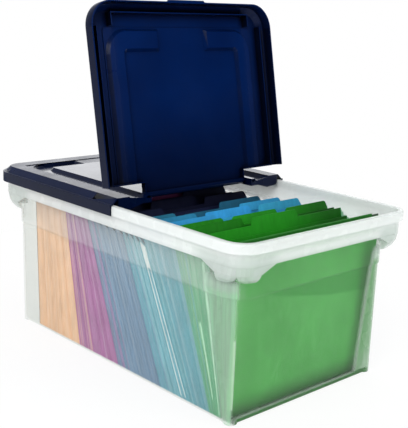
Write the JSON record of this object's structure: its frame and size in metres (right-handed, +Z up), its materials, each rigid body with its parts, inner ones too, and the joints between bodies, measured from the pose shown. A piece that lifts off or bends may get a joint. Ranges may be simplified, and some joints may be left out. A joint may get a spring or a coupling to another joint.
{
  "type": "portable file box",
  "caption": "Translucent tapered file tote with a two-part snap lid whose front half flips open on pins, holding a leaning row of coloured files and a hanging folder.",
  "frame": {"origin": "centre of the bin's underside, on the surface the box stands on", "axes": "+Z up, +Y along the long side towards the fixed rear lid half, -Y towards the end that opens, X across the width"},
  "size_m": [0.362, 0.5915, 0.5497],
  "materials": {
    "frosted_shell": "frosted translucent moulded polypropylene",
    "navy_lid": "smooth glossy moulded plastic",
    "orange_file": "smooth coloured card around papers",
    "magenta_file": "smooth coloured card around papers",
    "navy_file": "smooth coloured card around papers",
    "teal_file": "smooth coloured card around papers",
    "blue_file": "smooth coloured card around papers",
    "green_file": "smooth coloured card around papers",
    "hanging_sheet": "smooth coloured card",
    "rod": "satin paint on flat steel"
  },
  "bodies": {
    "bin": {"bin": "frosted_shell", "orange_file_1": "orange_file", "orange_file_2": "orange_file", "orange_file_3": "orange_file", "orange_file_4": "orange_file", "orange_file_5": "orange_file", "magenta_file_1": "magenta_file", "magenta_file_2": "magenta_file", "magenta_file_3": "magenta_file", "magenta_file_4": "magenta_file", "magenta_file_5": "magenta_file", "navy_file_1": "navy_file", "navy_file_2": "navy_file", "navy_file_3": "navy_file", "navy_file_4": "navy_file", "navy_file_5": "navy_file", "teal_file_1": "teal_file", "teal_file_2": "teal_file", "teal_file_3": "teal_file", "teal_file_4": "teal_file", "blue_file_1": "blue_file", "blue_file_2": "blue_file", "blue_file_3": "blue_file", "blue_file_4": "blue_file", "blue_file_5": "blue_file", "green_file_1": "green_file", "green_file_2": "green_file", "green_file_3": "green_file", "green_file_4": "green_file", "green_file_5": "green_file", "hanging_folder": "hanging_sheet", "rear_rod": "rod", "front_rod": "rod"},
    "rear_lid": {"rear_lid": "navy_lid"},
    "front_lid": {"front_lid": "navy_lid"}
  },
  "joints": [
    {"name": "front_lid_hinge", "type": "hinge", "parent": "rear_lid", "child": "front_lid", "pos_m": [0, -0.012, 0.2639], "axis": [1, 0, 0], "range_deg": [0, 101]},
    {"name": "lid_lift", "type": "slide", "parent": "bin", "child": "rear_lid", "axis": [0, 0, 1], "range_m": [0, 0.06]}
  ]
}
